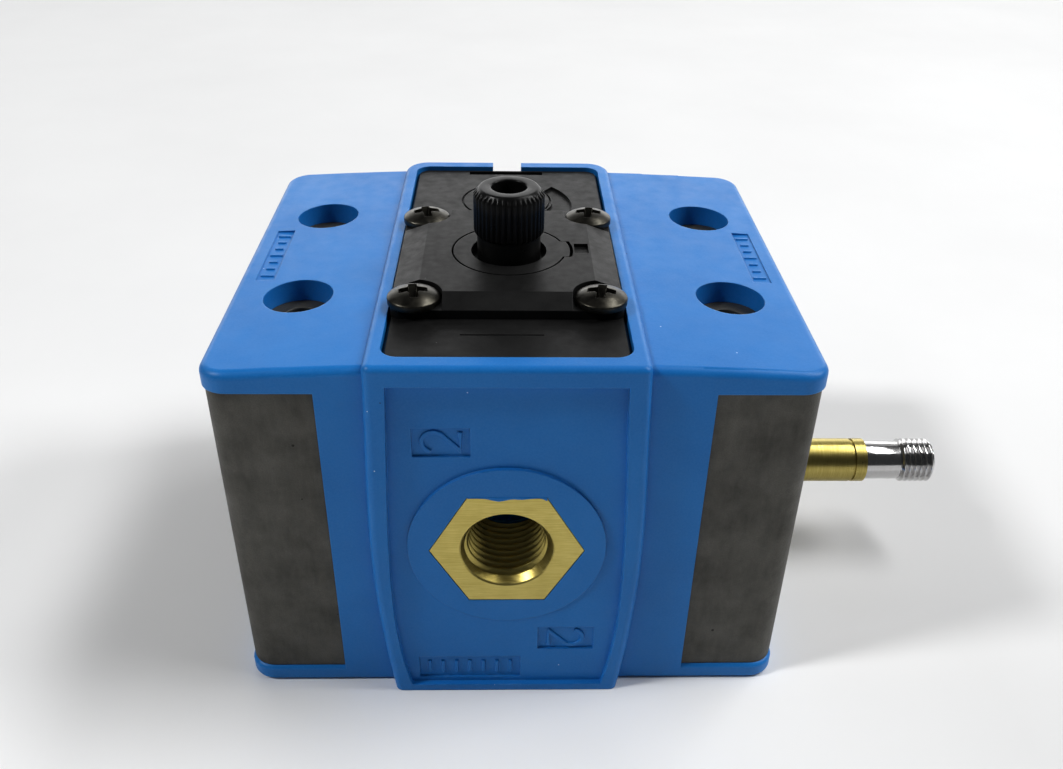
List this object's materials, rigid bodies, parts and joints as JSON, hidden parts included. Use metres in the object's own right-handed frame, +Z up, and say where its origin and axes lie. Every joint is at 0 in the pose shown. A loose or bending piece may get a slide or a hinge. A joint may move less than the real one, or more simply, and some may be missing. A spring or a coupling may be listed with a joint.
{
  "type": "pilot-operated pneumatic valve",
  "caption": "Three-port pneumatic poppet valve without its coil: moulded body, metal end blocks, brass ports, pilot head with a knurled throttle knob, and a threaded armature tube.",
  "frame": {"origin": "centre of the four mounting holes, on the bottom face", "axes": "+X towards the armature tube, +Y to the rear port, +Z up along the mounting screws"},
  "size_m": [0.1206, 0.0776, 0.0736],
  "materials": {
    "blue_plastic": "semi-gloss moulded acetal",
    "block_metal": "raw sintered metal, matt",
    "seal_rubber": "nitrile, matt",
    "black_plastic": "matt moulded",
    "pilot_plastic": "satin glass-filled nylon",
    "knob_plastic": "satin",
    "spring_steel": "drawn wire",
    "stainless_steel": "turned and ground",
    "turned_brass": "turned",
    "port_brass": "milled, fine lines",
    "tube_brass": "drawn tube, bright",
    "pole_chrome": "bright turned",
    "black_nickel": "black nickel plated"
  },
  "bodies": {
    "valve_body": {"housing": "blue_plastic", "end_block_left": "block_metal", "end_block_right": "block_metal", "exhaust_seal": "seal_rubber", "bottom_plug": "black_plastic", "plug_seal": "seal_rubber", "plug_circlip": "spring_steel", "return_spring": "spring_steel", "seat_retainer": "turned_brass", "supply_seat": "turned_brass", "exhaust_seat": "turned_brass", "stem_guide": "turned_brass", "stem_seal": "seal_rubber", "pilot_gasket": "seal_rubber", "pilot_base_plate": "pilot_plastic", "pilot_cover": "pilot_plastic", "index_disc": "pilot_plastic", "needle_seat": "turned_brass", "spindle_seal": "seal_rubber", "cover_screws": "black_nickel", "armature_tube": "tube_brass", "tube_seal": "seal_rubber", "pole_piece": "pole_chrome", "armature_spring": "spring_steel", "pilot_nozzle": "turned_brass", "port_insert_front": "port_brass", "port_insert_rear": "port_brass"},
    "knob": {"knob": "knob_plastic"},
    "needle": {"needle_spindle": "turned_brass"},
    "stem": {"valve_stem": "stainless_steel", "supply_poppet": "turned_brass", "supply_disc_seal": "seal_rubber", "exhaust_poppet": "turned_brass", "exhaust_disc_seal": "seal_rubber", "piston": "black_plastic", "piston_seal": "seal_rubber"},
    "armature": {"armature": "stainless_steel", "armature_seal": "seal_rubber"}
  },
  "joints": [
    {"name": "knob_turn", "type": "hinge", "parent": "valve_body", "child": "knob", "pos_m": [-0.001, -0.0066, 0.066], "axis": [0, 0, 1], "range_deg": [0, 720]},
    {"name": "needle_lift", "type": "slide", "parent": "valve_body", "child": "needle", "axis": [0, 0, 1], "range_m": [0, 0.002]},
    {"name": "stem_slide", "type": "slide", "parent": "valve_body", "child": "stem", "axis": [0, 0, -1], "range_m": [0, 0.00245], "stiffness_N_per_m": 3000, "springref_m": -0.004, "deforming": ["return_spring"]},
    {"name": "armature_slide", "type": "slide", "parent": "valve_body", "child": "armature", "axis": [1, 0, 0], "range_m": [0, 0.00098], "stiffness_N_per_m": 500, "springref_m": -0.003, "deforming": ["armature_spring"]}
  ],
  "couplings": [
    {"joint": "knob_turn", "follows": "needle_lift", "rad_per_m": 6283.2}
  ]
}
